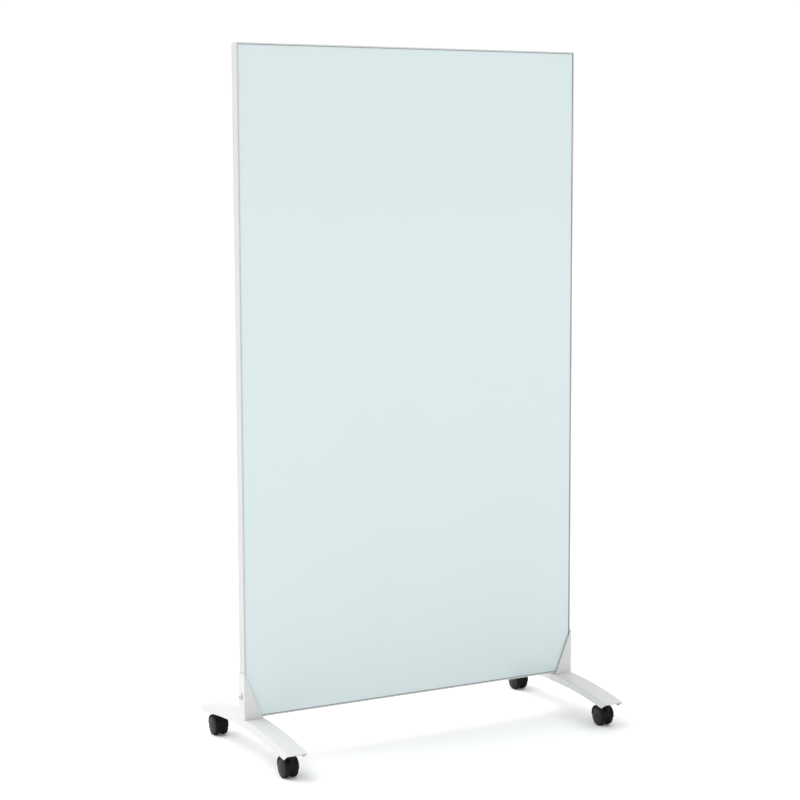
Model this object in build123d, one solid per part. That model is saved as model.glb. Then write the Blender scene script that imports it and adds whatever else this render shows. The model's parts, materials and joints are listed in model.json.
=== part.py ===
from build123d import *
import math
import os

# Rolling double-sided glass writing board on two arched feet with twin-wheel casters.
#
# Millimetres. The origin is on the floor, under the middle of the board.
# +X runs along the board's width, the front face looks along -Y, and +Z is up.
# Each sub-part is written to parts/NAME.step.

# ---------------------------------------------------------------- driving dimensions

# board
board_width = 1050.0
board_height = 1800.0
board_thickness = 32.0

# layers of the board, from the outside in
lip_thickness = 1.5
seal_thickness = 0.5
glass_thickness = 4.0
tape_thickness = 0.8
sheet_thickness = 0.6

# frame profile: an outer wall, two lips over the glass and a hollow box for the corner keys
frame_wall = 1.8
lip_width = 3.8
box_depth = 12.0
box_wall = 1.6
frame_edge_radius = 0.8

# panels inside the frame
glass_edge_gap = 1.0
seal_inset = 0.4
seal_show = 1.2
tape_width = 12.0
tape_margin = 40.0
tape_count = 5
core_gap = 0.5
core_strip = 3.0
core_columns = 8
core_rows = 14

# corner keys and their grub screws
key_leg = 45.0
key_gap = 0.1
grub_radius = 2.0
grub_length = 6.0
grub_from_corner = 30.0
grub_sink = 0.3
screw_gap = 0.05

# brackets that hold the board's lower corners
bracket_sheet = 2.5
bracket_side_gap = 1.5
bracket_rise = 125.5
bracket_reach = 53.0
bracket_apex_flat = 2.5
bracket_edge_radius = 2.0

# the bolt through each bracket's end plate
bolt_radius = 4.0
bolt_above_key = 14.5
bolt_head_radius = 7.0
bolt_head_height = 4.2
bolt_head_dome = 2.94
bolt_socket_across_flats = 5.0
bolt_socket_depth = 2.6
bolt_hole_gap = 0.4
washer_radius = 9.5
washer_thickness = 1.6
nut_bar_thickness = 6.0
nut_bar_below_bolt = 12.0
nut_bar_above_bolt = 28.0
nut_bar_gap = 0.2

# feet: folded channels, arched along Y, whose ends pass over the caster hoods
foot_over_hood = 2.0
foot_width = 60.0
foot_length = 572.0
foot_drop = 28.5
foot_sheet = 2.5
foot_edge_radius = 2.5
flange_depth_middle = 22.0
flange_depth_tip = 16.0
flange_undercut = 24.0

# clinch studs that fasten each bracket to its foot
stud_radius = 3.0
stud_spacing = 26.0
stud_head_radius = 4.5
stud_head_height = 1.2
stud_hole_gap = 0.3
stud_washer_radius = 6.0
stud_washer_thickness = 1.2
stud_nut_across_flats = 10.0
stud_nut_height = 5.0
stud_thread_past_nut = 2.0
seat_gap = 0.05

# casters
wheel_radius = 27.0
wheel_width = 15.4
wheel_hub_bulge = 3.2
tread_depth = 3.0
tread_edge_radius = 2.6
bond_gap = 0.05
wheel_side_gap = 0.6
wheel_recess_inner_radius = 8.0
wheel_recess_rim = 4.0
wheel_recess_depth = 7.0
wheel_cap_thickness = 3.0
axle_radius = 3.0
axle_end_gap = 0.5
running_gap = 0.05
trail = 18.0
stem_from_foot_end = 42.0
hood_web = 12.0
hood_clearance = 1.0
hood_wall = 1.6
hood_roof = 2.5
hood_shoulder_radius = 24.0
hood_skirt_above_axle = 0.0
hood_web_inset = 3.5
hood_edge_radius = 1.2
neck_radius = 10.0
neck_height = 4.5
neck_depth = 17.0
swivel_gap = 0.3
thrust_washer_thickness = 1.0
thrust_washer_radius = 9.0
caster_plate_thickness = 4.0
caster_plate_length = 26.0
stem_radius = 4.0
stem_head_radius = 4.9
stem_head_height = 2.0
stem_head_drop = 21.0
stem_head_gap = 0.4
stem_nut_across_flats = 13.0
stem_nut_height = 6.0
stem_past_nut = 1.5

# how far a cutting shape runs past the face it opens, and the slack when picking edges
overcut = 1.0
slack = 0.01

# ---------------------------------------------------------------- derived places

axle_z = wheel_radius
hood_top = 2 * wheel_radius + hood_clearance + hood_roof
foot_tip_low = hood_top + foot_over_hood
foot_tip_top = foot_tip_low + flange_depth_tip
foot_crest = foot_tip_top + foot_drop
board_bottom = foot_crest + bracket_sheet
board_top = board_bottom + board_height
half_board = board_width / 2
half_thick = board_thickness / 2
lip_inner = half_thick - lip_thickness
glass_outer = lip_inner - seal_thickness
glass_inner = glass_outer - glass_thickness
sheet_outer = glass_inner - tape_thickness
core_half = sheet_outer - sheet_thickness
bracket_outer_x = half_board + bracket_sheet
bracket_half_depth = half_thick + bracket_side_gap + bracket_sheet
bracket_top = foot_crest + bracket_rise
bolt_z = board_bottom + key_leg + bolt_above_key
foot_outer_x = bracket_outer_x
foot_centre_x = foot_outer_x - foot_width / 2
foot_half = foot_length / 2
stem_y = foot_half - stem_from_foot_end
wheel_inner_x = hood_web / 2 + wheel_side_gap
wheel_outer_x = wheel_inner_x + wheel_width
wheel_rim_x = wheel_outer_x - wheel_hub_bulge
neck_top = hood_top + neck_height
thrust_bottom = neck_top + swivel_gap
plate_bottom = thrust_bottom + thrust_washer_thickness
plate_top = plate_bottom + caster_plate_thickness
stem_top = plate_top + stem_nut_height + stem_past_nut
stem_head_top = hood_top - stem_head_drop

os.makedirs("parts", exist_ok=True)


# ---------------------------------------------------------------- helpers

def save(shape, name):
    """Write one sub-part, whether it is one solid or a group of equal ones."""
    if isinstance(shape, (list, tuple)):
        shape = Compound(children=[solid for piece in shape for solid in piece.solids()])
    export_step(shape, f"parts/{name}.step")
    return shape


def block(x_range, y_range, z_range):
    """A box between two values on each axis."""
    size = [abs(r[1] - r[0]) for r in (x_range, y_range, z_range)]
    middle = [(r[0] + r[1]) / 2 for r in (x_range, y_range, z_range)]
    return Pos(*middle) * Box(*size)


def upright(radius, z_low, z_high, x=0.0, y=0.0):
    """A cylinder standing along Z between two heights."""
    return Pos(x, y, (z_low + z_high) / 2) * Cylinder(radius, z_high - z_low)


def across(radius, x_low, x_high, y=0.0, z=0.0):
    """A cylinder lying along X between two places."""
    return Pos((x_low + x_high) / 2, y, z) * Rot(0, 90, 0) * Cylinder(radius, x_high - x_low)


def hex_nut(across_flats, height, bore_radius, z_low):
    """A plain hexagon nut with its bore, standing on z_low."""
    outline = RegularPolygon(across_flats / math.sqrt(3), 6) - Circle(bore_radius)
    return Pos(0, 0, z_low) * extrude(outline, height)


def ring(outer_radius, inner_radius, z_low, height):
    """A flat washer standing on z_low."""
    return Pos(0, 0, z_low) * extrude(Circle(outer_radius) - Circle(inner_radius), height)


def both_sides(shape):
    """The shape and its mirror image across the YZ plane."""
    return [shape, mirror(shape, about=Plane.YZ)]


# ---------------------------------------------------------------- board frame

def profile():
    """Section of the frame: +X of the sketch points into the board, +Y through its thickness."""
    wall = Pos(frame_wall / 2, 0) * Rectangle(frame_wall, board_thickness)
    lips = [Pos(lip_width / 2, side * (lip_inner + half_thick) / 2)
            * Rectangle(lip_width, lip_thickness) for side in (-1, 1)]
    box = Pos(box_depth / 2, 0) * Rectangle(box_depth, 2 * core_half)
    hollow_low = frame_wall
    hollow_high = box_depth - box_wall
    hollow = Pos((hollow_low + hollow_high) / 2, 0) * Rectangle(hollow_high - hollow_low,
                                                                2 * (core_half - box_wall))
    section = wall + lips[0] + lips[1] + box - hollow
    corners = [v for v in section.vertices() if v.X < slack]
    return fillet(corners, frame_edge_radius)


def member(length):
    """One mitred frame member, lying along X with its outer wall on the XY plane, box upwards."""
    plane = Plane(origin=(-length / 2, 0, 0), x_dir=(0, 0, 1), z_dir=(1, 0, 0))
    bar = extrude(plane * profile(), length)
    trapezoid = Polyline((-length / 2, 0), (length / 2, 0), (length / 2 - box_depth, box_depth),
                         (-length / 2 + box_depth, box_depth), close=True)
    prism = extrude(Plane.XZ * make_face(trapezoid), half_thick + overcut, both=True)
    return bar & prism


def grub_places():
    """Places of the grub screws, two at each corner, as (x, z) in the board's plane."""
    level = (frame_wall + box_depth - box_wall) / 2
    places = []
    for sx in (-1, 1):
        for edge, sz in ((board_bottom, 1), (board_top, -1)):
            places.append((sx * (half_board - grub_from_corner), edge + sz * level))
            places.append((sx * (half_board - level), edge + sz * grub_from_corner))
    return places


def grub(radius, length, start):
    """Cylinders along Y at every grub screw, running inwards from the rear."""
    return [Pos(x, start - length / 2, z) * Rot(90, 0, 0) * Cylinder(radius, length)
            for x, z in grub_places()]


def cut_all(shape, tools):
    for tool in tools:
        shape = shape - tool
    return shape


grub_holes = grub(grub_radius + screw_gap, box_wall + 2 * overcut, core_half + overcut)

rail = member(board_width)
rail_bottom = cut_all(Pos(0, 0, board_bottom) * rail, grub_holes)
rail_top = cut_all(Pos(0, 0, board_top) * Rot(180, 0, 0) * rail, grub_holes)

stile = member(board_height)
stile_z = (board_bottom + board_top) / 2
bolt_hole = across(bolt_radius + bolt_hole_gap, half_board - frame_wall - overcut,
                   half_board + overcut, z=bolt_z)
stile_right_blank = Pos(half_board, 0, stile_z) * Rot(0, -90, 0) * stile
stile_right = cut_all(stile_right_blank - bolt_hole, grub_holes)
stile_left = cut_all(mirror(stile_right_blank - bolt_hole, about=Plane.YZ), grub_holes)

save(rail_bottom, "frame_rail_bottom")
save(rail_top, "frame_rail_top")
save(stile_left, "frame_stile_left")
save(stile_right, "frame_stile_right")

# corner keys: L-shaped, in the hollow of the box
key_outer = frame_wall + key_gap
key_inner = box_depth - box_wall - key_gap
key_half = core_half - box_wall - key_gap


def corner_key(sx, sz):
    edge_x = sx * half_board
    edge_z = board_top if sz > 0 else board_bottom
    flat = block((edge_x - sx * key_outer, edge_x - sx * key_leg), (-key_half, key_half),
                 (edge_z - sz * key_outer, edge_z - sz * key_inner))
    tall = block((edge_x - sx * key_outer, edge_x - sx * key_inner), (-key_half, key_half),
                 (edge_z - sz * key_outer, edge_z - sz * key_leg))
    return flat + tall


grub_start = core_half - grub_sink
key_holes = grub(grub_radius + screw_gap, grub_length + 2 * overcut, grub_start + overcut)
keys = [cut_all(corner_key(sx, sz), key_holes) for sx in (-1, 1) for sz in (-1, 1)]
save(keys, "corner_keys")
save(grub(grub_radius, grub_length, grub_start), "corner_key_screws")


# ---------------------------------------------------------------- board panels

def panel(edge, y_near, y_far):
    """A flat sheet set back from the board's edges, between two depths."""
    return block((-half_board + edge, half_board - edge), (y_near, y_far),
                 (board_bottom + edge, board_top - edge))


panel_edge = frame_wall + glass_edge_gap
seal_outer_edge = frame_wall + seal_inset
seal_inner_edge = lip_width + seal_show

for side, name in ((-1, "front"), (1, "rear")):
    glass = panel(panel_edge, side * glass_inner, side * glass_outer)
    save(glass, f"glass_{name}")
    sheet = panel(panel_edge, side * core_half, side * sheet_outer)
    save(sheet, f"steel_sheet_{name}")
    seal = (panel(seal_outer_edge, side * glass_outer, side * lip_inner)
            - panel(seal_inner_edge, side * (glass_outer - overcut), side * (lip_inner + overcut)))
    save(seal, f"glass_seal_{name}")
    tape_reach = half_board - tape_margin - tape_width / 2
    tape_pitch = 2 * tape_reach / (tape_count - 1)
    strips = [block((x - tape_width / 2, x + tape_width / 2), (side * sheet_outer, side * glass_inner),
                    (board_bottom + tape_margin, board_top - tape_margin))
              for x in [-tape_reach + i * tape_pitch for i in range(tape_count)]]
    save(strips, f"bonding_tape_{name}")

# core: crossed strips that leave square cells, inside the frame
core_edge = box_depth + core_gap
core_width = board_width - 2 * core_edge
core_height = board_height - 2 * core_edge
cell_width = (core_width - core_strip) / core_columns - core_strip
cell_height = (core_height - core_strip) / core_rows - core_strip
cells = GridLocations(cell_width + core_strip, cell_height + core_strip, core_columns, core_rows)
lattice = Rectangle(core_width, core_height) - cells * Rectangle(cell_width, cell_height)
core = Pos(0, 0, stile_z) * extrude(Plane.XZ * lattice, core_half, both=True)
save(core, "core_lattice")


# ---------------------------------------------------------------- corner brackets

def bracket():
    """The right-hand bracket: base, end plate and two sloping gussets, open to the board."""
    outer = bracket_outer_x
    outline = Polyline((outer, foot_crest), (outer, bracket_top),
                       (outer - bracket_apex_flat, bracket_top),
                       (outer - bracket_reach, foot_crest + bracket_sheet),
                       (outer - bracket_reach, foot_crest), close=True)
    body = extrude(Plane.XZ * make_face(outline), bracket_half_depth, both=True)
    long_edges = body.edges().filter_by(Axis.Z).group_by(Axis.X)[-1]
    body = fillet(long_edges, bracket_edge_radius)
    pocket_half = bracket_half_depth - bracket_sheet
    pocket = block((outer - bracket_reach - overcut, half_board), (-pocket_half, pocket_half),
                   (board_bottom, bracket_top + overcut))
    body = body - pocket
    body = body - across(bolt_radius + bolt_hole_gap, half_board - overcut, outer + overcut, z=bolt_z)
    for x in stud_places():
        body = body - upright(stud_radius + seat_gap, foot_crest - overcut, board_bottom + overcut, x=x)
        head_seat = board_bottom - stud_head_height - seat_gap
        body = body - upright(stud_head_radius + seat_gap, head_seat, board_bottom + overcut, x=x)
    return body


def stud_places():
    middle = (foot_outer_x - foot_sheet + foot_outer_x - foot_width + foot_sheet) / 2
    return [middle - stud_spacing / 2, middle + stud_spacing / 2]


right_bracket = bracket()
save(right_bracket, "bracket_right")
save(mirror(right_bracket, about=Plane.YZ), "bracket_left")

# bolt, washer and threaded bar at each end plate
washer_outer_x = bracket_outer_x + washer_thickness
bar_outer_x = half_board - frame_wall - nut_bar_gap
bar_inner_x = bar_outer_x - nut_bar_thickness
hollow_half = core_half - box_wall
head = Rot(0, 90, 0) * Cylinder(bolt_head_radius, bolt_head_height)
head = Pos(washer_outer_x + bolt_head_height / 2, 0, bolt_z) * head
head = fillet(head.edges().group_by(Axis.X)[-1], bolt_head_dome)
shank = across(bolt_radius, bar_inner_x, washer_outer_x, z=bolt_z)
socket_face = Plane(origin=(washer_outer_x + bolt_head_height, 0, bolt_z), z_dir=(-1, 0, 0))
socket = extrude(socket_face * RegularPolygon(bolt_socket_across_flats / math.sqrt(3), 6),
                 bolt_socket_depth)
bolt = head + shank - socket
washer = (across(washer_radius, bracket_outer_x, washer_outer_x, z=bolt_z)
          - across(bolt_radius + seat_gap, bracket_outer_x - overcut, washer_outer_x + overcut, z=bolt_z))
bar = block((bar_inner_x, bar_outer_x), (-hollow_half + nut_bar_gap, hollow_half - nut_bar_gap),
            (bolt_z - nut_bar_below_bolt, bolt_z + nut_bar_above_bolt))
bar = bar - across(bolt_radius + seat_gap, bar_inner_x - overcut, bar_outer_x + overcut, z=bolt_z)
save(both_sides(bolt), "bracket_bolts")
save(both_sides(washer), "bracket_washers")
save(both_sides(bar), "bracket_nut_bars")


# ---------------------------------------------------------------- feet

flange_middle_low = foot_crest - flange_depth_middle
flange_tip_y = foot_half - flange_undercut
crest_radius = (foot_half ** 2 + foot_drop ** 2) / (2 * foot_drop)


def arch_z(y, depth=0.0):
    """Height of the arched top at a given Y, or of the surface a sheet's depth below it."""
    radius = crest_radius - depth
    return foot_crest - crest_radius + math.sqrt(radius ** 2 - y ** 2)


def foot():
    """The right-hand foot: an arched channel with open ends and slanted flange ends."""
    top = ThreePointArc((-foot_half, foot_tip_top), (0, foot_crest), (foot_half, foot_tip_top))
    low = ThreePointArc((flange_tip_y, foot_tip_low), (0, flange_middle_low),
                        (-flange_tip_y, foot_tip_low))
    ends = [Line(top @ 1, low @ 0), Line(low @ 1, top @ 0)]
    side = make_face([top, ends[0], low, ends[1]])
    body = extrude(Plane.YZ * side, foot_width / 2, both=True)
    arched = [e for e in body.edges().filter_by(GeomType.CIRCLE) if (e @ 0).Z > foot_tip_top - slack]
    body = fillet(arched, foot_edge_radius)
    reach = foot_half + overcut
    under = ThreePointArc((-reach, arch_z(reach, foot_sheet)), (0, foot_crest - foot_sheet),
                          (reach, arch_z(reach, foot_sheet)))
    drop = [Line(under @ 1, (reach, 0)), Line((reach, 0), (-reach, 0)), Line((-reach, 0), under @ 0)]
    cavity = extrude(Plane.YZ * make_face([under] + drop), foot_width / 2 - foot_sheet, both=True)
    body = body - cavity
    body = Pos(foot_centre_x, 0, 0) * body
    for x in stud_places():
        body = body - upright(stud_radius + stud_hole_gap, foot_crest - foot_sheet - overcut,
                              foot_crest + overcut, x=x)
    return body


right_foot = foot()
save(right_foot, "foot_right")
save(mirror(right_foot, about=Plane.YZ), "foot_left")

# clinch studs with washers and nuts, under each bracket
stud_washer_top = arch_z(stud_washer_radius, foot_sheet) - seat_gap
stud_nut_top = stud_washer_top - stud_washer_thickness
stud_bottom = stud_nut_top - stud_nut_height - stud_thread_past_nut
stud_head_low = board_bottom - stud_head_height
stud_part = (upright(stud_radius, stud_bottom, board_bottom)
             + upright(stud_head_radius, stud_head_low, board_bottom))
stud_washer = ring(stud_washer_radius, stud_radius + stud_hole_gap,
                   stud_washer_top - stud_washer_thickness, stud_washer_thickness)
stud_nut = hex_nut(stud_nut_across_flats, stud_nut_height, stud_radius + seat_gap,
                   stud_nut_top - stud_nut_height)


def at_studs(shape):
    return [Pos(side * x, 0, 0) * shape for side in (-1, 1) for x in stud_places()]


save(at_studs(stud_part), "foot_studs")
save(at_studs(stud_washer), "foot_washers")
save(at_studs(stud_nut), "foot_nuts")


# ---------------------------------------------------------------- casters

corners = {"front_left": (-1, -1), "front_right": (1, -1),
           "rear_left": (-1, 1), "rear_right": (1, 1)}


def place(shape, corner):
    """Move a piece drawn around the stem axis, wheel towards +Y, to one corner of the base."""
    sx, sy = corners[corner]
    turn = 0 if sy < 0 else 180
    return Pos(sx * foot_centre_x, sy * stem_y, 0) * Rot(0, 0, turn) * shape


def at_corners(shape):
    return [place(shape, corner) for corner in corners]


# fixed pieces in the foot: level plate, stem, nut and thrust washer
plate_width = foot_width - 2 * foot_sheet
plate = block((-plate_width / 2, plate_width / 2), (-caster_plate_length / 2, caster_plate_length / 2),
              (plate_bottom, plate_top))
plate = plate - upright(stem_radius + seat_gap, plate_bottom - overcut, plate_top + overcut)
stem = (upright(stem_radius, stem_head_top, stem_top)
        + upright(stem_head_radius, stem_head_top - stem_head_height, stem_head_top))
stem_nut = hex_nut(stem_nut_across_flats, stem_nut_height, stem_radius + seat_gap, plate_top)
thrust = ring(thrust_washer_radius, stem_radius + seat_gap, thrust_bottom, thrust_washer_thickness)
save(at_corners(plate), "caster_plates")
save(at_corners(stem), "caster_stems")
save(at_corners(stem_nut), "stem_nuts")
save(at_corners(thrust), "thrust_washers")


def hood():
    """Moulded hood: a shell over both wheels, a round web between them, a neck round the stem."""
    outer_reach = wheel_radius + hood_clearance + hood_wall
    skirt = axle_z + hood_skirt_above_axle
    shell_face = Pos(trail, (skirt + hood_top) / 2) * Rectangle(2 * outer_reach, hood_top - skirt)
    shoulders = [v for v in shell_face.vertices() if v.Y > skirt + slack]
    shell_face = fillet(shoulders, hood_shoulder_radius)
    shell = extrude(Plane.YZ * shell_face, wheel_rim_x, both=True)
    rims = [e for e in shell.edges() if abs(abs(e.center().X) - wheel_rim_x) < slack
            and e.center().Z > skirt + slack]
    shell = fillet(rims, hood_edge_radius)
    shell = shell + upright(neck_radius, hood_top - neck_depth, neck_top)
    wheel_space = across(wheel_radius + hood_clearance, hood_web / 2, wheel_outer_x + overcut,
                         trail, axle_z)
    shell = shell - wheel_space - mirror(wheel_space, about=Plane.YZ)
    body = shell + across(wheel_radius - hood_web_inset, -hood_web / 2, hood_web / 2, trail, axle_z)
    body = body - upright(stem_radius + running_gap, stem_head_top - overcut, neck_top + overcut)
    pocket_top = stem_head_top + swivel_gap
    body = body - upright(stem_head_radius + stem_head_gap, 0, pocket_top)
    return body - across(axle_radius + seat_gap, -hood_web, hood_web, trail, axle_z)


def wheel_core():
    """Wheel disc with a blind bore for the axle, a domed outer face and a recess inside."""
    rim = wheel_radius - tread_depth - bond_gap
    dome_radius = (rim ** 2 + wheel_hub_bulge ** 2) / (2 * wheel_hub_bulge)
    disc = upright(rim, wheel_inner_x, wheel_outer_x)
    disc = disc & (Pos(0, 0, wheel_outer_x - dome_radius) * Sphere(dome_radius))
    recess = ring(rim - wheel_recess_rim, wheel_recess_inner_radius,
                  wheel_inner_x - overcut, wheel_recess_depth + overcut)
    bore = upright(axle_radius + running_gap, wheel_inner_x - overcut,
                   wheel_outer_x - wheel_cap_thickness)
    return disc - recess - bore


def wheel_tread():
    """Ring around the wheel disc, rounded at both edges where it rolls."""
    band = ring(wheel_radius, wheel_radius - tread_depth, wheel_inner_x, wheel_rim_x - wheel_inner_x)
    outer_edges = [e for e in band.edges().filter_by(GeomType.CIRCLE)
                   if abs(e.radius - wheel_radius) < slack]
    return fillet(outer_edges, tread_edge_radius)


def on_axle(shape, side):
    """Stand a piece drawn along +Z on the axle, on one side of the hood's web."""
    return Pos(0, trail, axle_z) * Rot(0, side * 90, 0) * shape


axle_reach = wheel_outer_x - wheel_cap_thickness - axle_end_gap
hood_body = hood()
axle_body = across(axle_radius, -axle_reach, axle_reach, trail, axle_z)
core_body = wheel_core()
tread_body = wheel_tread()

for corner, (sx, sy) in corners.items():
    save(place(hood_body, corner), f"hood_{corner}")
    save(place(axle_body, corner), f"axle_{corner}")
    for local_side in (-1, 1):
        world_side = local_side if sy < 0 else -local_side
        where = "outer" if world_side == sx else "inner"
        save(place(on_axle(core_body, local_side), corner), f"wheel_{corner}_{where}")
        save(place(on_axle(tread_body, local_side), corner), f"tread_{corner}_{where}")
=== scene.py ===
# %% [markdown]
# # A rolling glass writing board
#
# This lesson dresses a finished mechanical model: a tall board with glass on both faces,
# held at its lower corners by folded brackets on two arched feet, which roll on hooded
# twin-wheel casters. The mechanical model gives every piece its place and its size. Here
# each piece gets the finish of the real thing, and the small moulded and threaded pieces
# are made again with the detail that a plain mechanical drawing leaves out.

# %% Load the mechanical model
import json
import math

import bmesh
import bpy
from mathutils import Matrix, Vector


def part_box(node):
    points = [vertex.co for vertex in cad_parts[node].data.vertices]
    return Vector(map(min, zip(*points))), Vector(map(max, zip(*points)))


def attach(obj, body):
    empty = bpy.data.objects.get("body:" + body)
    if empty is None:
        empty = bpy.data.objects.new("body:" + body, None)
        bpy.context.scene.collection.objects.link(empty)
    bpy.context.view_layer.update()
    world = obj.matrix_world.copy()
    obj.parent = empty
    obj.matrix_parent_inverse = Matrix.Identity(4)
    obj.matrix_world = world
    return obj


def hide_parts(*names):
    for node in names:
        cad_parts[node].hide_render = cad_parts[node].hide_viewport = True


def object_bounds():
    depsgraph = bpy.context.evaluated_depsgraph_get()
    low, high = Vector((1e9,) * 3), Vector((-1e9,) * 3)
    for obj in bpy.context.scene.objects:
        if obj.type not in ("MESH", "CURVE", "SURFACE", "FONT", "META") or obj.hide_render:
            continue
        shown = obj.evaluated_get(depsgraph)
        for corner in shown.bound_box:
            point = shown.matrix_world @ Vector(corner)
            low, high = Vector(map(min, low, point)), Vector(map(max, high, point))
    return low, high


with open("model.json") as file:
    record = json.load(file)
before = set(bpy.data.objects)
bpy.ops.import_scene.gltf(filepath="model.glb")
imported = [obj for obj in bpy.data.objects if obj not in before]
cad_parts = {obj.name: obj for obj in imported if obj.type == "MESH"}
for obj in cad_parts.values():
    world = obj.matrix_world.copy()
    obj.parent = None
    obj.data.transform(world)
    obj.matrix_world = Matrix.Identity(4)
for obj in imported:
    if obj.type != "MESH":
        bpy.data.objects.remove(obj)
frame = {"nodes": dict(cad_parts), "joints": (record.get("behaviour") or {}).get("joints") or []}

MM = 0.001

cad_box = [list(corner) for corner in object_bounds()]
lowest, highest = Vector(cad_box[0]), Vector(cad_box[1])
print("the board stands", round(highest.z, 4), "m high,", round(highest.x - lowest.x, 4), "m wide")

# %% [markdown]
# ## The camera
#
# The board is seen from its left, from a few metres back, with a longish lens held at eye
# height and tipped down a little. A long lens keeps the upright edges of a tall thing
# nearly parallel. The camera's place is given from the point on the floor under the
# board's middle, and its turn as three plain angles, so that it is easy to walk around.

# %% Stand the camera
camera_left = 2.643
camera_back = 4.737
camera_height = 1.581
camera_turn = math.radians(28.83)
camera_tip_down = math.radians(6.735)
camera_roll = math.radians(0.18)

camera_data = bpy.data.cameras.new("studio_camera")
camera_data.lens = 88.37
camera_data.sensor_width = 36.0
camera = bpy.data.objects.new("studio_camera", camera_data)
bpy.context.scene.collection.objects.link(camera)
camera.matrix_world = (
    Matrix.Translation((-camera_left, -camera_back, camera_height))
    @ Matrix.Rotation(-camera_turn, 4, "Z")
    @ Matrix.Rotation(math.pi / 2 - camera_tip_down, 4, "X")
    @ Matrix.Rotation(-camera_roll, 4, "Z")
)
bpy.context.scene.camera = camera
print("the camera is", round(camera.location.length, 2), "m from that point")

# %% [markdown]
# ## The studio
#
# White things on white need soft light from one side, or their edges vanish. The real
# thing would be stood on a wide pale sheet in front of a lit white backdrop, with one very
# broad lamp overhead, a second behind it on the left, and with the room behind the camera
# left dimmer. Tops and left sides are then the brightest, and faces turned to the camera
# stay a shade darker. Sun lamps with wide discs are used rather than panels, because their
# light doesn't fade along the floor, which stays even as far as the horizon. The air itself
# is brightest low down, all the way round, so that the floor meets it without a line. How
# bright it is elsewhere follows the direction: one blend runs from front to back, and a
# second from low to high.

# %% A few small helpers, and the floor
def node_material(name):
    """A new material, its node tree and its shader."""
    material = bpy.data.materials.new(name)
    material.use_nodes = True
    tree = material.node_tree
    return material, tree, tree.nodes["Principled BSDF"]


def make_object(name, mesh):
    """Put a mesh into the scene."""
    piece = bpy.data.objects.new(name, mesh)
    bpy.context.scene.collection.objects.link(piece)
    return piece


floor_half = 60.0
floor_corners = [(-floor_half, -floor_half, 0), (floor_half, -floor_half, 0),
                 (floor_half, floor_half, 0), (-floor_half, floor_half, 0)]
floor_mesh = bpy.data.meshes.new("studio_floor")
floor_mesh.from_pydata(floor_corners, [], [(0, 1, 2, 3)])
floor = make_object("studio_floor", floor_mesh)
floor_paint, _, floor_shader = node_material("pale_floor")
floor_shade = 0.95
floor_shader.inputs["Base Color"].default_value = (floor_shade, floor_shade, floor_shade, 1)
floor_shader.inputs["Roughness"].default_value = 0.9
floor_shader.inputs["Specular IOR Level"].default_value = 0.0
floor.data.materials.append(floor_paint)
print("floor laid,", 2 * floor_half, "m square")

# %% The two broad lamps
def broad_lamp(name, seen_from, strength, width):
    """A sun lamp with a wide disc, shining from a direction towards the board."""
    data = bpy.data.lights.new(name, "SUN")
    data.energy = strength
    data.angle = math.radians(width)
    lamp = bpy.data.objects.new(name, data)
    lamp.rotation_euler = seen_from.to_track_quat("Z", "Y").to_euler()
    bpy.context.scene.collection.objects.link(lamp)
    rise = math.degrees(math.asin(seen_from.normalized().z))
    print(name, "stands", round(rise), "degrees up and is", width, "degrees wide")


overhead_from = Vector((-0.05, 0.10, 0.95))
overhead_strength = 0.9
overhead_width = 100
side_from = Vector((-0.42, 0.33, 0.85))
side_strength = 1.35
side_width = 50
broad_lamp("overhead_lamp", overhead_from, overhead_strength, overhead_width)
broad_lamp("side_lamp", side_from, side_strength, side_width)

# %% The lit horizon, the backdrop and the dimmer room
horizon_light = 1.03
backdrop_light = 0.90
room_light = 0.77
blend_front, blend_back = -0.45, 0.35
blend_low, blend_high = 0.10, 0.40

world = bpy.data.worlds.new("studio_air")
bpy.context.scene.world = world
world.use_nodes = True
air_nodes, air_links = world.node_tree.nodes, world.node_tree.links
sight = air_nodes.new("ShaderNodeTexCoord")
direction = air_nodes.new("ShaderNodeSeparateXYZ")
air_links.new(sight.outputs["Generated"], direction.inputs["Vector"])

front_to_back = air_nodes.new("ShaderNodeMapRange")
front_to_back.interpolation_type = "SMOOTHSTEP"
front_to_back.inputs["From Min"].default_value = blend_front
front_to_back.inputs["From Max"].default_value = blend_back
front_to_back.inputs["To Min"].default_value = room_light
front_to_back.inputs["To Max"].default_value = backdrop_light
air_links.new(direction.outputs["Y"], front_to_back.inputs["Value"])

low_to_high = air_nodes.new("ShaderNodeMapRange")
low_to_high.interpolation_type = "SMOOTHSTEP"
low_to_high.inputs["From Min"].default_value = blend_low
low_to_high.inputs["From Max"].default_value = blend_high
low_to_high.inputs["To Min"].default_value = horizon_light
air_links.new(direction.outputs["Z"], low_to_high.inputs["Value"])
air_links.new(front_to_back.outputs["Result"], low_to_high.inputs["To Max"])
air_links.new(low_to_high.outputs["Result"], air_nodes["Background"].inputs["Strength"])
air_nodes["Background"].inputs["Color"].default_value = (1, 1, 1, 1)
bpy.context.scene.view_settings.view_transform = "Standard"
print("horizon", horizon_light, "backdrop", backdrop_light, "room", room_light)

# %% [markdown]
# ## Finishes from noise
#
# No real surface is one flat colour. Powder coat has a faint orange peel, moulded nylon
# has a fine spark-eroded grain, and rolled steel has streaks. All of these can be grown
# from noise in the piece's own coordinates: one noise moves the colour a little, one moves
# the roughness, and a fine one tilts the surface. A single helper does this for every
# finish, and each finish then only states its own scales and depths.

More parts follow.
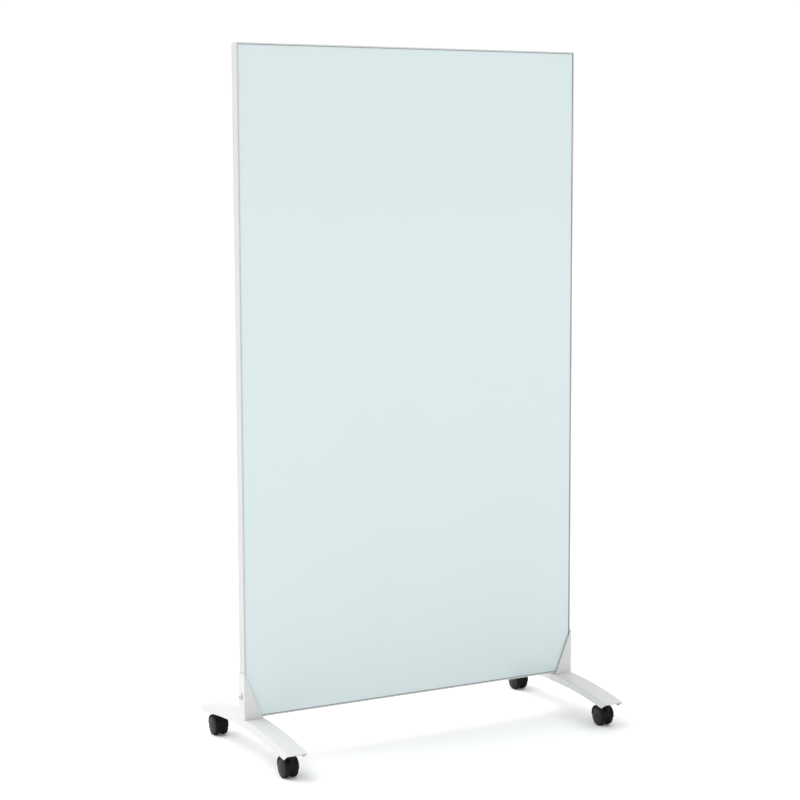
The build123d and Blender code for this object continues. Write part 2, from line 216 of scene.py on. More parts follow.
# %% A helper that grows a finish
def grown_finish(name, colour, roughness, colour_change=0.02, rough_change=0.06, cloud_scale=6.0,
                 grain_scale=900.0, grain_depth=0.02, stretch=(1, 1, 1), metallic=0.0, coat=0.0):
    """A finish with drifting colour and roughness, and a fine grain in its surface."""
    material, tree, shader = node_material(name)
    nodes, links = tree.nodes, tree.links
    place = nodes.new("ShaderNodeTexCoord")
    scaled = nodes.new("ShaderNodeMapping")
    scaled.inputs["Scale"].default_value = stretch
    links.new(place.outputs["Object"], scaled.inputs["Vector"])

    cloud = nodes.new("ShaderNodeTexNoise")
    cloud.inputs["Scale"].default_value = cloud_scale
    cloud.inputs["Detail"].default_value = 6.0
    links.new(scaled.outputs["Vector"], cloud.inputs["Vector"])

    tint = nodes.new("ShaderNodeValToRGB")
    tint.color_ramp.elements[0].position = 0.3
    tint.color_ramp.elements[1].position = 0.7
    tint.color_ramp.elements[0].color = (*[max(c - colour_change, 0.0) for c in colour], 1)
    tint.color_ramp.elements[1].color = (*[min(c + colour_change, 1.0) for c in colour], 1)
    links.new(cloud.outputs["Fac"], tint.inputs["Fac"])
    links.new(tint.outputs["Color"], shader.inputs["Base Color"])

    spread = nodes.new("ShaderNodeMapRange")
    spread.inputs["To Min"].default_value = roughness - rough_change
    spread.inputs["To Max"].default_value = roughness + rough_change
    links.new(cloud.outputs["Fac"], spread.inputs["Value"])
    links.new(spread.outputs["Result"], shader.inputs["Roughness"])

    grain = nodes.new("ShaderNodeTexNoise")
    grain.inputs["Scale"].default_value = grain_scale
    grain.inputs["Detail"].default_value = 3.0
    links.new(scaled.outputs["Vector"], grain.inputs["Vector"])
    bump = nodes.new("ShaderNodeBump")
    bump.inputs["Strength"].default_value = grain_depth
    bump.inputs["Distance"].default_value = MM
    links.new(grain.outputs["Fac"], bump.inputs["Height"])
    links.new(bump.outputs["Normal"], shader.inputs["Normal"])

    shader.inputs["Metallic"].default_value = metallic
    shader.inputs["Coat Weight"].default_value = coat
    return material


def wear(material, node_names=(), objects=()):
    """Give one finish to CAD nodes by name and to new pieces."""
    dressed = [frame["nodes"][n] for n in node_names] + list(objects)
    for piece in dressed:
        piece.data.materials.clear()
        piece.data.materials.append(material)
    return len(dressed)


# %% [markdown]
# ## White powder coat
#
# The frame, brackets and feet are dipped in light: powder paint is blown on dry and
# melted into a tough skin. Close up it rolls gently, like orange peel, with waves of a
# millimetre or two, and it is satin rather than glossy. Two copies of it are used here:
# the frame's copy is a darker white, which is painted shade, so that the frame's lips and
# sides read a shade darker than the brackets and feet.

# %% Coat the frame, the brackets and the feet
# The frame's copy is a darker white than the steel's: painted shade for the frame's lips and sides.
frame_coat_painted_shade = grown_finish("frame_powder_coat", (0.55, 0.55, 0.55), 0.42, colour_change=0.008,
                          cloud_scale=3.0, grain_scale=650.0, grain_depth=0.05)
steel_coat = grown_finish("steel_powder_coat", (0.62, 0.62, 0.62), 0.40, colour_change=0.010,
                          cloud_scale=9.0, grain_scale=520.0, grain_depth=0.07)
frame_members = ["frame_stile_left", "frame_stile_right", "frame_rail_top", "frame_rail_bottom"]
bracket_names = ["bracket_left", "bracket_right"]
foot_names = ["foot_left", "foot_right"]
coated = wear(frame_coat_painted_shade, frame_members)
coated += wear(steel_coat, bracket_names + foot_names + ["caster_plates"])
print("powder-coated nodes:", coated)

# %% [markdown]
# Sheet metal and extrusions are never knife-sharp. Paint pulls back from an edge and the
# blank is deburred before it is folded, so each edge has a tiny round that catches a line
# of light. A bevel modifier adds it and leaves the mechanical mesh as it is. Only edges
# sharper than a set angle are rounded, so curved faces stay as they are. At the frame's
# corners the same small bevel opens the mitre into a fine visible joint.

# %% Break the edges
def break_edges(piece, width, segments=2, sharpest=35.0):
    """Round every crisp edge of a piece by a small width."""
    bevel = piece.modifiers.new("broken_edges", "BEVEL")
    bevel.width = width
    bevel.segments = segments
    bevel.limit_method = "ANGLE"
    bevel.angle_limit = math.radians(sharpest)


edge_round = 0.35 * MM
for name in frame_members + bracket_names + foot_names + ["caster_plates"]:
    break_edges(frame["nodes"][name], edge_round)
print("edges broken by", edge_round / MM, "mm")

# %% [markdown]
# ## The writing glass
#
# The glass is 4 mm of clear toughened sheet, painted on its back, so the colour is seen
# through the sheet and a second, sharp reflection sits on top of it. One shader can do
# both: a smooth painted base for the colour, and a coat for the polished surface. Wiping
# leaves faint cloudy arcs, which show only as a change of gloss.

# %% Paint and polish the glass
glass_finish, glass_tree, glass_shader = node_material("back_painted_glass")
glass_nodes, glass_links = glass_tree.nodes, glass_tree.links
glass_place = glass_nodes.new("ShaderNodeTexCoord")

wipe = glass_nodes.new("ShaderNodeTexNoise")
wipe.inputs["Scale"].default_value = 2.2
wipe.inputs["Detail"].default_value = 5.0
wipe.inputs["Distortion"].default_value = 1.4
glass_links.new(glass_place.outputs["Object"], wipe.inputs["Vector"])

wipe_gloss = glass_nodes.new("ShaderNodeMapRange")
wipe_gloss.inputs["To Min"].default_value = 0.10
wipe_gloss.inputs["To Max"].default_value = 0.17
glass_links.new(wipe.outputs["Fac"], wipe_gloss.inputs["Value"])
glass_links.new(wipe_gloss.outputs["Result"], glass_shader.inputs["Roughness"])

paint_tint = glass_nodes.new("ShaderNodeValToRGB")
paint_tint.color_ramp.elements[0].position = 0.25
paint_tint.color_ramp.elements[0].color = (0.590, 0.684, 0.692, 1)
paint_tint.color_ramp.elements[1].position = 0.75
paint_tint.color_ramp.elements[1].color = (0.598, 0.692, 0.700, 1)
glass_links.new(wipe.outputs["Fac"], paint_tint.inputs["Fac"])
glass_links.new(paint_tint.outputs["Color"], glass_shader.inputs["Base Color"])
glass_shader.inputs["IOR"].default_value = 1.52
glass_shader.inputs["Coat Weight"].default_value = 0.4
glass_shader.inputs["Coat Roughness"].default_value = 0.04

glass_sheets = ["glass_front", "glass_rear"]
ground_edge = 0.4 * MM
wear(glass_finish, glass_sheets)
for name in glass_sheets:
    break_edges(frame["nodes"][name], ground_edge)
sheet_low, sheet_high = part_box("glass_front")
sheet_size = sheet_high - sheet_low
print("glass sheet", round(sheet_size.x, 4), "by", round(sheet_size.z, 4), "m")

# %% [markdown]
# ## What the board hides
#
# Between the two glass sheets lie steel sheets for the magnets, bonding tape and a light
# core of crossed board. They show only when the piece is taken apart, but a model made as
# an assembly should still look right on the bench. Streaks along the rolling direction
# make zinc-coated steel, and a coarse grain makes paper board.

# %% Finish the inner pieces
rolled_zinc = grown_finish("rolled_zinc_sheet", (0.56, 0.57, 0.58), 0.38, colour_change=0.05,
                           rough_change=0.10, cloud_scale=40.0, grain_scale=300.0, grain_depth=0.05,
                           stretch=(1, 1, 0.05), metallic=1.0)
cast_alloy = grown_finish("die_cast_alloy", (0.52, 0.52, 0.53), 0.5, colour_change=0.03,
                          cloud_scale=90.0, grain_scale=1400.0, grain_depth=0.12, metallic=1.0)
foam_tape = grown_finish("grey_foam_tape", (0.12, 0.12, 0.125), 0.85, cloud_scale=60.0,
                         grain_scale=2200.0, grain_depth=0.25)
paper_board = grown_finish("crossed_paper_board", (0.42, 0.30, 0.18), 0.9, colour_change=0.05,
                           cloud_scale=120.0, grain_scale=700.0, grain_depth=0.3,
                           stretch=(1, 1, 0.2))
seal_rubber = grown_finish("grey_seal_rubber", (0.10, 0.104, 0.104), 0.7, cloud_scale=30.0,
                           grain_scale=1600.0, grain_depth=0.08)
wear(rolled_zinc, ["steel_sheet_front", "steel_sheet_rear"])
wear(cast_alloy, ["corner_keys"])
wear(foam_tape, ["bonding_tape_front", "bonding_tape_rear"])
wear(paper_board, ["core_lattice"])
wear(seal_rubber, ["glass_seal_front", "glass_seal_rear"])
inner_finishes = (rolled_zinc, cast_alloy, foam_tape, paper_board, seal_rubber)
print("inner finishes:", [finish.name for finish in inner_finishes])

# %% [markdown]
# ## Zinc-plated fasteners
#
# Screws, washers and nuts are barrel-plated: bright, slightly blue, and scuffed by
# tumbling against each other. The bracket bolts show from outside, so they are plated with
# satin nickel instead, which is darker and even, and doesn't mirror the room.

# %% Finish the fasteners that keep their mechanical shape
plated_steel = grown_finish("zinc_plated_steel", (0.66, 0.68, 0.70), 0.28, colour_change=0.06,
                            rough_change=0.12, cloud_scale=260.0, grain_scale=2500.0,
                            grain_depth=0.06, metallic=1.0)
satin_nickel = grown_finish("satin_nickel_bolt", (0.60, 0.60, 0.605), 0.36, colour_change=0.02,
                            cloud_scale=180.0, grain_scale=1500.0, grain_depth=0.05, metallic=1.0)
wear(plated_steel, ["bracket_nut_bars", "corner_key_screws", "foot_washers"])
wear(satin_nickel, ["bracket_bolts", "bracket_washers"])
fastener_round = 0.2 * MM
for name in ["bracket_nut_bars", "foot_washers", "bracket_bolts", "bracket_washers"]:
    break_edges(frame["nodes"][name], fastener_round)
white_nylon = grown_finish("white_washer_nylon", (0.72, 0.71, 0.68), 0.5, cloud_scale=200.0,
                           grain_scale=1800.0, grain_depth=0.06)
wear(white_nylon, ["thrust_washers"])
axle_names = [n for n in frame["nodes"] if n.startswith("axle_")]
wear(plated_steel, axle_names)
print("fasteners finished, with", len(axle_names), "axles")

# %% [markdown]
# ## Turning round things on a lathe
#
# Wheels, treads, necks and bolt heads are all turned shapes: a profile swung round an
# axis. A small lathe function takes the profile as radius and height pairs and joins each
# ring of points to the next. A profile that starts and ends on the axis closes there with
# a single point, and one that misses the axis closes on itself, so that the piece is a
# sealed solid either way.

# %% The lathe
def shade_by_angle(mesh, degrees=32.0):
    """Smooth shading that still breaks at real corners."""
    mesh.polygons.foreach_set("use_smooth", [True] * len(mesh.polygons))
    mesh.set_sharp_from_angle(angle=math.radians(degrees))


def mesh_from(name, bm):
    """Turn a finished build mesh into a mesh with outward faces."""
    bmesh.ops.recalc_face_normals(bm, faces=bm.faces)
    mesh = bpy.data.meshes.new(name)
    bm.to_mesh(mesh)
    bm.free()
    shade_by_angle(mesh)
    return mesh


def add_rings(bm, rings, closed_profile):
    """Join rings of points into a skin. A ring of one point is a pole."""
    pairs = list(zip(rings, rings[1:]))
    if closed_profile:
        pairs.append((rings[-1], rings[0]))
    for low, high in pairs:
        count = max(len(low), len(high))
        for i in range(count):
            j = (i + 1) % count
            a, b = low[i % len(low)], low[j % len(low)]
            c, d = high[j % len(high)], high[i % len(high)]
            corners = []
            for v in (a, b, c, d):
                if v not in corners:
                    corners.append(v)
            if len(corners) > 2:
                bm.faces.new(corners)


def turned(bm, profile, place=Matrix.Identity(4), steps=72, closed_profile=False):
    """Swing (radius, height) pairs, in millimetres, round local Z, and place the result."""
    rings = []
    for radius, height in profile:
        if radius <= 0:
            rings.append([bm.verts.new(place @ Vector((0, 0, height * MM)))])
            continue
        ring = []
        for i in range(steps):
            angle = 2 * math.pi * i / steps
            point = Vector((radius * math.cos(angle), radius * math.sin(angle), height))
            ring.append(bm.verts.new(place @ (point * MM)))
        rings.append(ring)
    add_rings(bm, rings, closed_profile)


# %% [markdown]
# ## Threads and nuts
#
# A thread is a helix, and the eye knows one at once. Rather than cut it, the rod's skin is
# wound directly: at each height and angle the radius rises and falls with the turn that
# passes there. The thread fades out over one pitch at each end, where the rod is a little
# thinner. A nut is a hexagon whose corners are turned off by a shallow cone at each end,
# which gives the curved chamfer lines of a real one.

# %% Wind a thread and make a nut
thread_depth_per_pitch = 0.54
rod_end_thinner = 0.25
chamfer_circle = 0.97
chamfer_rise = 0.55
bore_edge = 0.5


def threaded_rod(bm, radius, pitch, low, high, place, steps=28, per_pitch=6):
    """A rod with a wound thread, from one height to another, in millimetres."""
    depth = thread_depth_per_pitch * pitch
    rows = max(2, int((high - low) / pitch * per_pitch) + 1)
    rings = [[bm.verts.new(place @ Vector((0, 0, low * MM)))]]
    for row in range(rows):
        height = low + (high - low) * row / (rows - 1)
        fade = max(min(1.0, (high - height) / pitch, (height - low) / pitch), 0.0)
        ring = []
        for i in range(steps):
            turn = i / steps
            phase = (height / pitch - turn) % 1.0
            valley = 1 - abs(2 * phase - 1)
            reach = (radius - depth * valley * fade - rod_end_thinner * (1 - fade)) * MM
            angle = 2 * math.pi * turn
            spot = Vector((reach * math.cos(angle), reach * math.sin(angle), height * MM))
            ring.append(bm.verts.new(place @ spot))
        rings.append(ring)
    rings.append([bm.verts.new(place @ Vector((0, 0, high * MM)))])
    add_rings(bm, rings, False)


def nut_body(bm, across_flats, bore, low, height, place, steps=72):
    """A chamfered hexagon nut, in millimetres."""
    flat = across_flats / 2
    corner = across_flats / math.sqrt(3)
    rise = (corner - flat) * chamfer_rise
    end_circle = flat * chamfer_circle
    outside = [(0.0, end_circle), (rise, corner), (height - rise, corner), (height, end_circle)]
    inside = [(height, bore + bore_edge), (height - bore_edge, bore), (bore_edge, bore),
              (0.0, bore + bore_edge)]
    rings = []
    for level, limit in outside:
        ring = []
        for i in range(steps):
            angle = 2 * math.pi * i / steps
            sector = (angle + math.pi / 6) % (math.pi / 3) - math.pi / 6
            reach = min(flat / math.cos(sector), limit) * MM
            spot = Vector((reach * math.cos(angle), reach * math.sin(angle), (low + level) * MM))
            ring.append(bm.verts.new(place @ spot))
        rings.append(ring)
    for level, radius in inside:
        ring = []
        for i in range(steps):
            angle = 2 * math.pi * i / steps
            spot = Vector((radius * math.cos(angle), radius * math.sin(angle), low + level)) * MM
            ring.append(bm.verts.new(place @ spot))
        rings.append(ring)
    add_rings(bm, rings, True)


# %% [markdown]
# ## The clinch studs under each bracket
#
# Each bracket is pressed full of short studs that come down through the foot, where a nut
# and washer pull the two together. From above nothing shows. Anyone who turns the board
# over sees four threaded ends, so they are wound here with their true pitch.

# %% Measure the studs
swivels = {j["child"]: j for j in frame["joints"] if j["name"].startswith("swivel_")}
stud_low, stud_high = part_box("foot_studs")
nut_low, nut_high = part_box("foot_nuts")
stud_radius = 3.0
stud_head_radius = 4.5
stud_head_height = 1.2
stud_pitch = 1.0
stud_nut_flats = (nut_high.y - nut_low.y) / MM
foot_low, foot_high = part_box("foot_right")
foot_middle = (foot_low.x + foot_high.x) / 2
outer_stud = stud_high.x - stud_head_radius * MM
stud_step = outer_stud - foot_middle
stud_xs = [side * (foot_middle + step) for side in (-1, 1) for step in (-stud_step, stud_step)]
print("studs at x =", [round(x, 4) for x in stud_xs])

# %% Make the studs and their nuts
thread_clearance = 0.05

studs_bm = bmesh.new()
nuts_bm = bmesh.new()
for x in stud_xs:
    spot = Matrix.Translation((x, 0, 0))
    bottom, top = stud_low.z / MM, stud_high.z / MM
    head_bottom = top - stud_head_height
    threaded_rod(studs_bm, stud_radius, stud_pitch, bottom, head_bottom, spot)
    turned(studs_bm, [(0, head_bottom), (stud_head_radius, head_bottom),
                      (stud_head_radius, top), (0, top)], spot, steps=48)
    nut_body(nuts_bm, stud_nut_flats, stud_radius + thread_clearance, nut_low.z / MM,
             (nut_high.z - nut_low.z) / MM, spot)
studs = make_object("wound_foot_studs", mesh_from("wound_foot_studs", studs_bm))
stud_nuts = make_object("chamfered_foot_nuts", mesh_from("chamfered_foot_nuts", nuts_bm))
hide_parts("foot_studs")
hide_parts("foot_nuts")
for piece in (studs, stud_nuts):
    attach(piece, "root")
wear(plated_steel, objects=(studs, stud_nuts))
print("studs wound:", len(stud_xs))

# %% [markdown]
# ## The caster stems
#
# A stem hangs from a level plate inside the foot. Its upper end is threaded for a nut, its
# middle is plain and polished because the caster turns on it, and a head below keeps the
# caster from falling off when the board is lifted.

# %% Make the stems and their nuts
stem_low, stem_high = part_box("caster_stems")
stem_nut_low, stem_nut_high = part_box("stem_nuts")
plate_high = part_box("caster_plates")[1]
stem_radius = 4.0
stem_head_radius = 4.9
stem_head_height = 2.0
stem_head_edge = 0.5
thread_starts_below = 0.5
stem_pitch = 1.25
stem_nut_flats = 13.0

stems_bm = bmesh.new()
stem_nuts_bm = bmesh.new()
for joint in swivels.values():
    spot = Matrix.Translation((joint["pos_m"][0], joint["pos_m"][1], 0))
    low, high, plate_top = stem_low.z / MM, stem_high.z / MM, plate_high.z / MM
    head_top, thread_start = low + stem_head_height, plate_top - thread_starts_below
    turned(stems_bm, [(0, low), (stem_head_radius - stem_head_edge, low),
                      (stem_head_radius, low + stem_head_edge), (stem_head_radius, head_top),
                      (stem_radius, head_top), (stem_radius, thread_start), (0, thread_start)],
           spot, steps=48)
    threaded_rod(stems_bm, stem_radius, stem_pitch, thread_start, high, spot)
    nut_body(stem_nuts_bm, stem_nut_flats, stem_radius + thread_clearance, plate_top,
             (stem_nut_high.z - stem_nut_low.z) / MM, spot)
stems = make_object("threaded_caster_stems", mesh_from("threaded_caster_stems", stems_bm))
stem_nuts = make_object("chamfered_stem_nuts", mesh_from("chamfered_stem_nuts", stem_nuts_bm))
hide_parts("caster_stems")
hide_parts("stem_nuts")
for piece in (stems, stem_nuts):
    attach(piece, "root")
wear(plated_steel, objects=(stems, stem_nuts))
print("stems stand from", round(stem_low.z, 4), "to", round(stem_high.z, 4))

# %% [markdown]
# ## Weld beads
#
# The level plates are welded into the channels, and a weld is never a straight fillet: it
# is a row of overlapping pools. A bead here is a thin tube whose radius ripples along its
# length, laid in the corner between plate and flange, and painted over with the rest.

# %% Lay a bead along each plate's edge
def weld_bead(bm, start, end, radius, ripple=0.22, steps=14, ripples_per_mm=0.55,
              rings_per_mm=3, taper_share=8):
    """A rippled tube from one point to another, tapering away at both ends."""
    start, end = Vector(start), Vector(end)
    run = end - start
    rows = int(run.length / MM * rings_per_mm)
    side = run.cross(Vector((0, 0, 1))).normalized()
    lift = side.cross(run).normalized()
    rings = [[bm.verts.new(start)]]
    for row in range(1, rows):
        t = row / rows
        taper = min(1.0, t * taper_share, (1 - t) * taper_share) ** 0.5
        wave = 1 + ripple * abs(math.sin(math.pi * run.length / MM * ripples_per_mm * t))
        reach = radius * taper * wave
        ring = []
        for i in range(steps):
            angle = 2 * math.pi * i / steps
            offset = side * math.cos(angle) + lift * math.sin(angle)
            ring.append(bm.verts.new(start + run * t + offset * reach))
        rings.append(ring)
    rings.append([bm.verts.new(end)])
    add_rings(bm, rings, False)


bead_radius = 1.1 * MM
bead_inset = 0.3 * bead_radius
bead_half_length = 11 * MM
foot_wall = 2.5 * MM
half_gap = (foot_high.x - foot_low.x) / 2 - foot_wall
bead_bm = bmesh.new()
for joint in swivels.values():
    x, y = joint["pos_m"][0], joint["pos_m"][1]
    for side in (-1, 1):
        edge = x + side * (half_gap - bead_inset)
        weld_bead(bead_bm, (edge, y - bead_half_length, plate_high.z),
                  (edge, y + bead_half_length, plate_high.z), bead_radius)
beads = make_object("plate_weld_beads", mesh_from("plate_weld_beads", bead_bm))
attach(beads, "root")
wear(steel_coat, objects=(beads,))
print("weld beads:", 2 * len(swivels), "of", round(2 * bead_half_length / MM), "mm")

# %% [markdown]
# ## Caster finishes
#
# Caster hoods are moulded in black nylon with a fine matt grain, because a polished one
# would show every scuff. The wheel discs come from a smoother mould. The treads are a
# softer rubber whose tone drifts a little from patch to patch. Matt black throws back very
# little light, so the mirror part of each shader is turned well down.

# %% Black mouldings and treads
hood_nylon = grown_finish("black_hood_nylon", (0.0045, 0.0045, 0.0048), 0.50,
                          colour_change=0.002, rough_change=0.08, cloud_scale=70.0,
                          grain_scale=1900.0, grain_depth=0.10)
wheel_nylon = grown_finish("black_wheel_nylon", (0.0125, 0.0125, 0.013), 0.42,
                           colour_change=0.003, rough_change=0.08, cloud_scale=90.0,
                           grain_scale=1500.0, grain_depth=0.05)
tread_rubber = grown_finish("dusty_tread_rubber", (0.0085, 0.0085, 0.0085), 0.70,
                            colour_change=0.004, rough_change=0.10, cloud_scale=160.0,
                            grain_scale=1300.0, grain_depth=0.14)
mirror_parts = ((hood_nylon, 0.12), (wheel_nylon, 0.2), (tread_rubber, 0.14))
for black, mirror_part in mirror_parts:
    shader = black.node_tree.nodes["Principled BSDF"]
    shader.inputs["Specular IOR Level"].default_value = mirror_part
print("caster finishes:", [black.name for black, _ in mirror_parts])

# %% [markdown]
# ## The shape of the hood
#
# Seen from the side, a hood is a rounded rectangle that sits over a circle: its outside
# clears the foot above it, and its inside clears the wheels. Both are easiest to give as
# a distance from the axle at each angle. The outside's distance comes from where a ray
# from the axle leaves the rounded rectangle, which is either a flat or one corner arc.

# %% Distance from the axle to the hood's outside
def arch_reach(angle, half_length, rise, corner):
    """How far the hood's rounded rectangle is from the axle, at an angle up from level."""
    along, up = abs(math.cos(angle)), math.sin(angle)
    centre_along, centre_up = half_length - corner, rise - corner
    facing = along * centre_along + up * centre_up
    inside = max(facing ** 2 - centre_along ** 2 - centre_up ** 2 + corner ** 2, 0.0)
    reach = facing + math.sqrt(inside)
    if reach * along < centre_along:
        return rise / up
    if reach * up < centre_up:
        return half_length / along
    return reach


# %% [markdown]
# ## Sweeping the shell
#
# The shell could be carved from a block with booleans. It is swept instead, because a
# moulding has soft rims, and a swept section can carry them all the way round. The section
# runs across the wheels: crowned outside, rounded at both rims, and hollow inside to the
# circle of the wheels. It is set down at each angle of the arch from one skirt to the other.

# %% Sweep the shell over the wheels
def shell_section(half_width, outer, inner):
    """The section across the shell at one angle, as (across, distance from the axle) pairs."""
    crown, rim, mouth_edge = 0.8, 1.2, 0.5
    rim_shoulder = 0.3 * rim
    half_steps = 5
    outside = []
    for i in range(2 * half_steps + 1):
        across = (half_width - rim) * (i / half_steps - 1)
        outside.append((across, outer - crown * (across / half_width) ** 4))
    edge = outside[-1][1]
    right = [(half_width - rim_shoulder, edge - rim_shoulder), (half_width, edge - rim),
             (half_width, inner + mouth_edge), (half_width - mouth_edge, inner)]
    left = [(-across, distance) for across, distance in reversed(right)]
    return outside + right + [(0, inner)] + left


def hood_shell(bm, place, middle_y, axle_z, half_length, rise, corner, half_width, inner):
    """Carry the section round the arch, and close its two skirts."""
    rings = []
    steps = 48
    for i in range(steps + 1):
        angle = math.pi * i / steps
        outer = arch_reach(angle, half_length, rise, corner)
        ring = []
        for across, distance in shell_section(half_width, outer, inner):
            spot = Vector((across, middle_y + distance * math.cos(angle),
                           axle_z + distance * math.sin(angle)))
            ring.append(bm.verts.new(place @ (spot * MM)))
        rings.append(ring)
    add_rings(bm, rings, False)
    bm.faces.new(rings[0])
    bm.faces.new(rings[-1])


# %% [markdown]
# ## The web between the wheels
#
# A round web fills the gap between the two wheels, down to a few millimetres off the
# floor, and keeps hair and thread away from the axle. Above the axle it grows up into the
# shell. It is one flat plate, with its rim rounded in three steps on each side.

# %% Make the web
def hood_web(bm, place, middle_y, axle_z, half_length, rise, corner, web_radius, half_thickness):
    """A flat round web whose upper half follows the shell."""
    steps = 96
    round_by, below_shell, level_enough = 0.9, 1.2, 0.02
    shoulder = 0.3 * round_by
    levels = [(-half_thickness, round_by), (-half_thickness + shoulder, shoulder),
              (-half_thickness + round_by, 0)]
    levels += [(-x, inset) for x, inset in reversed(levels)]
    rings = []
    for x, inset in levels:
        ring = []
        for i in range(steps):
            angle = 2 * math.pi * i / steps
            reach = web_radius
            if math.sin(angle) > level_enough:
                reach = arch_reach(angle, half_length, rise, corner) - below_shell
            spot = Vector((x, middle_y + (reach - inset) * math.cos(angle),
                           axle_z + (reach - inset) * math.sin(angle)))
            ring.append(bm.verts.new(place @ (spot * MM)))
        rings.append(ring)
    add_rings(bm, rings, False)
    bm.faces.new(rings[0])
    bm.faces.new(rings[-1])


# %% [markdown]
# ## The neck round the stem
#
# The neck takes the whole load. Above the hood it is a plain round collar with a groove
# under its lip. Where it runs down into the hood it has to pass between the two wheels, so
# each lower ring is a circle with its two sides pressed flat to the web's thickness.

# %% Make the neck
def hood_neck(bm, place, hood_top, neck_top, radius, bore, half_thickness, depth):
    """A collar that narrows to pass between the wheels, with a bore for the stem."""
    flat_up_to, round_from = hood_top - 3.6, hood_top - 1.0
    groove_low, groove_high = hood_top + 1.2, hood_top + 2.7
    groove_slope, groove_depth = 0.4, 0.5
    lip_round, lip_shoulder, bore_mouth = 0.7, 0.2, 0.5
    neck_bottom = hood_top - depth
    levels = [(neck_bottom, radius, half_thickness), (flat_up_to, radius, half_thickness),
              (round_from, radius, radius), (groove_low, radius, radius),
              (groove_low + groove_slope, radius - groove_depth, radius),
              (groove_high - groove_slope, radius - groove_depth, radius),
              (groove_high, radius, radius), (neck_top - lip_round, radius, radius),
              (neck_top - lip_shoulder, radius - lip_shoulder, radius),
              (neck_top, radius - lip_round, radius), (neck_top, bore + bore_mouth, radius),
              (neck_top - bore_mouth, bore, radius), (neck_bottom, bore, radius)]
    steps = 64
    rings = []
    for height, reach, limit in levels:
        ring = []
        for i in range(steps):
            angle = 2 * math.pi * i / steps
            x = max(-limit, min(limit, reach * math.cos(angle)))
            ring.append(bm.verts.new(place @ (Vector((x, reach * math.sin(angle), height)) * MM)))
        rings.append(ring)
    add_rings(bm, rings, True)


# %% [markdown]
# ## The wheels
#
# Each caster has two wheels that turn separately, which is why a twin-wheel caster swings
# round so easily. A wheel is a hard disc with a soft tyre shrunk on. The disc has a domed
# face with a ring groove and a small cap over the axle's end, and is hollowed on its inner
# side to save plastic. The tread has a shallow groove round its middle. Both are turned,
# and the dome is an arc worked out from its own bulge.

# %% Turn the disc and the tread
def disc_profile(rim, bore, width, bulge):
    """Disc profile as (radius, height from the inner face), from pole to pole."""
    dome = (rim ** 2 + bulge ** 2) / (2 * bulge)
    boss, hollow_rim, hollow_depth = 8.0, rim - 4.0, 7.0
    soft, cut_edge, axle_cover, rim_drop = 0.4, 0.5, 3.0, 0.05
    groove_outer, groove_inner, groove_slope, groove_depth = rim - 2.2, rim - 3.8, 0.4, 0.5
    cap_outer, cap_inner, cap_slope, cap_depth = 8.6, 7.2, 0.4, 0.7

    def on_dome(radius, sunk=0.0):
        return (radius, width - sunk - dome + math.sqrt(dome ** 2 - radius ** 2))

    hub = [(0, width - axle_cover), (bore, width - axle_cover), (bore, cut_edge),
           (bore + cut_edge, 0)]
    hollow = [(boss - soft, 0), (boss, soft), (boss, hollow_depth - soft),
              (boss + soft, hollow_depth), (hollow_rim - soft, hollow_depth),
              (hollow_rim, hollow_depth - soft), (hollow_rim, soft), (hollow_rim + soft, 0)]
    edge = [(rim - cut_edge, 0), (rim, cut_edge), (rim, on_dome(rim)[1] - soft),
            on_dome(rim - soft, rim_drop)]
    groove = [on_dome(groove_outer), on_dome(groove_outer - groove_slope, groove_depth),
              on_dome(groove_inner + groove_slope, groove_depth), on_dome(groove_inner)]
    middle = [on_dome(radius) for radius in (17.0, 14.0, 11.0)]
    cap = [on_dome(cap_outer), on_dome(cap_outer - cap_slope, cap_depth),
           on_dome(cap_inner + cap_slope, cap_depth), on_dome(cap_inner),
           on_dome(5.0), on_dome(2.5), (0, width)]
    return hub + hollow + edge + groove + middle + cap


def tread_profile(radius, depth, width):
    """Tread profile as a closed loop of (radius, height from the inner face)."""
    inner, middle, shoulder = radius - depth, width / 2, 2.6
    groove, groove_half, groove_floor = 0.45, 0.8, 0.5
    arc_steps = 5
    quarter = [math.pi / 2 * i / arc_steps for i in range(arc_steps + 1)]
    near = [(radius - shoulder * (1 - math.sin(angle)), shoulder * (1 - math.cos(angle)))
            for angle in quarter]
    grooved = [(radius, middle - groove_half), (radius - groove, middle - groove_floor),
               (radius - groove, middle + groove_floor), (radius, middle + groove_half)]
    far = [(radius - shoulder * (1 - math.cos(angle)), width - shoulder * (1 - math.sin(angle)))
           for angle in quarter]
    return [(inner, 0)] + near + grooved + far + [(inner, width)]


# %% [markdown]
# ## Putting each caster together
#
# Everything is drawn round the stem, with the wheels trailing towards +Y, and then turned
# to face the right way at each corner. The places come from the mechanical model: the
# swivel joint gives the stem's axis and the axle gives the wheels'.

# %% Build the four hoods
neck_height = 4.5
neck_depth = 17.0
neck_radius = 10.0
neck_bore = stem_radius + 0.1
hood_shoulder = 24.0
web_half = 6.0
web_inset = 3.5
wheel_clearance = 1.0

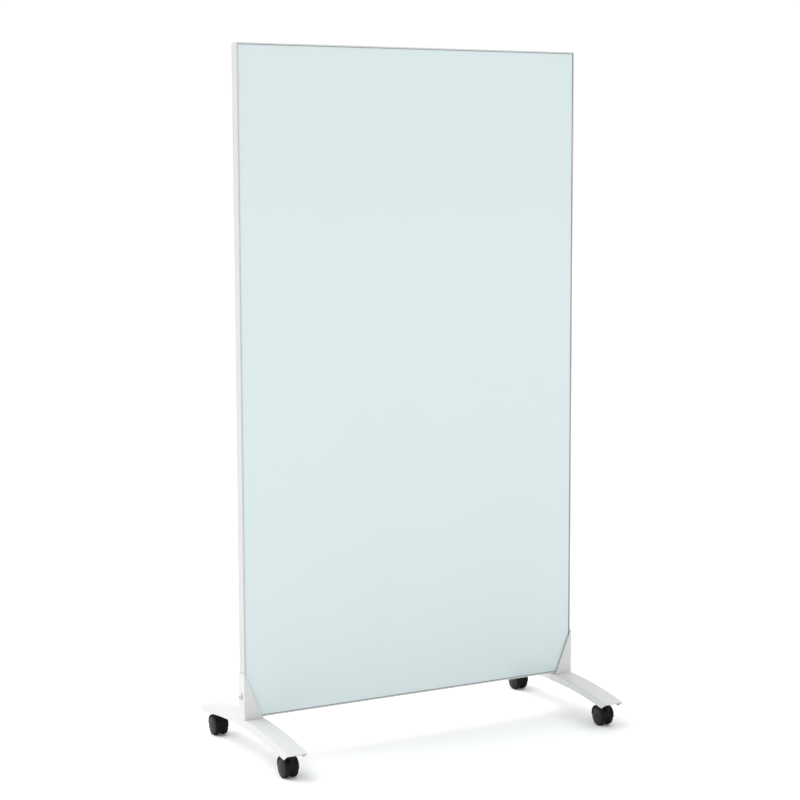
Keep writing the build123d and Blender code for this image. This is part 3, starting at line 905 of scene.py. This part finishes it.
casters = {}
for body, joint in swivels.items():
    corner = body.replace("caster_", "")
    hood_low, hood_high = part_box(f"hood_{corner}")
    axle_low, axle_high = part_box(f"axle_{corner}")
    tread_low, tread_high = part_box(f"tread_{corner}_inner")
    axle = (axle_low + axle_high) / 2
    stem_x, stem_y = joint["pos_m"][0], joint["pos_m"][1]
    turn = 0.0 if axle.y > stem_y else math.pi
    place = Matrix.Translation((stem_x, stem_y, 0)) @ Matrix.Rotation(turn, 4, "Z")
    casters[corner] = axle

    trail = abs(axle.y - stem_y) / MM
    axle_z = axle.z / MM
    wheel_radius = (tread_high.z - tread_low.z) / MM / 2
    half_length = (hood_high.y - hood_low.y) / MM / 2
    neck_top = hood_high.z / MM
    hood_top = neck_top - neck_height
    arch = (half_length, hood_top - axle_z, hood_shoulder)

    hood_bm = bmesh.new()
    hood_shell(hood_bm, place, trail, axle_z, *arch, (hood_high.x - hood_low.x) / MM / 2,
               wheel_radius + wheel_clearance)
    hood_web(hood_bm, place, trail, axle_z, *arch, wheel_radius - web_inset, web_half)
    hood_neck(hood_bm, place, hood_top, neck_top, neck_radius, neck_bore, web_half, neck_depth)
    hood_name = f"moulded_hood_{corner}"
    hood_piece = make_object(hood_name, mesh_from(hood_name, hood_bm))
    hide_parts(f"hood_{corner}")
    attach(hood_piece, body)
    wear(hood_nylon, objects=(hood_piece,))
    print("hood", corner, "turned", round(math.degrees(turn)), "degrees, trail", round(trail, 1))

# %% Build the eight wheels
axle_bore = 3.05
wheel_steps = 96
for corner, axle in casters.items():
    for where in ("inner", "outer"):
        disc_low, disc_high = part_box(f"wheel_{corner}_{where}")
        tread_low, tread_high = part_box(f"tread_{corner}_{where}")
        faces_right = disc_low.x > axle.x
        inner_face = disc_low.x if faces_right else disc_high.x
        swing = math.pi / 2 if faces_right else -math.pi / 2
        on_axle = Matrix.Translation((inner_face, axle.y, axle.z)) @ Matrix.Rotation(swing, 4, "Y")
        disc_width = (disc_high.x - disc_low.x) / MM
        tread_width = (tread_high.x - tread_low.x) / MM
        rim = (disc_high.z - disc_low.z) / MM / 2
        tread_radius = (tread_high.z - tread_low.z) / MM / 2

        disc_outline = disc_profile(rim, axle_bore, disc_width, disc_width - tread_width)
        disc_bm = bmesh.new()
        turned(disc_bm, disc_outline, on_axle, wheel_steps)
        disc = make_object(f"domed_disc_{corner}_{where}",
                           mesh_from(f"disc_{corner}_{where}", disc_bm))
        tread_outline = tread_profile(tread_radius, tread_radius - rim, tread_width)
        tread_bm = bmesh.new()
        turned(tread_bm, tread_outline, on_axle, wheel_steps, True)
        tread = make_object(f"grooved_tread_{corner}_{where}",
                            mesh_from(f"tread_{corner}_{where}", tread_bm))
        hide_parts(f"wheel_{corner}_{where}")
        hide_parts(f"tread_{corner}_{where}")
        for piece, slot in ((disc, "black_wheel_nylon"), (tread, "tread_rubber")):
            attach(piece, f"wheel_{corner}_{where}")
        wear(wheel_nylon, objects=(disc,))
        wear(tread_rubber, objects=(tread,))
print("wheels:", 2 * len(casters), "of radius", round(tread_radius, 1), "mm")

# %% [markdown]
# ## The size of the mechanical model
#
# Dressing a model must not make it grow. The box round the mechanical model was kept at
# the start, and is printed here.

# %% Measure and finish
print("mechanical box", cad_box)
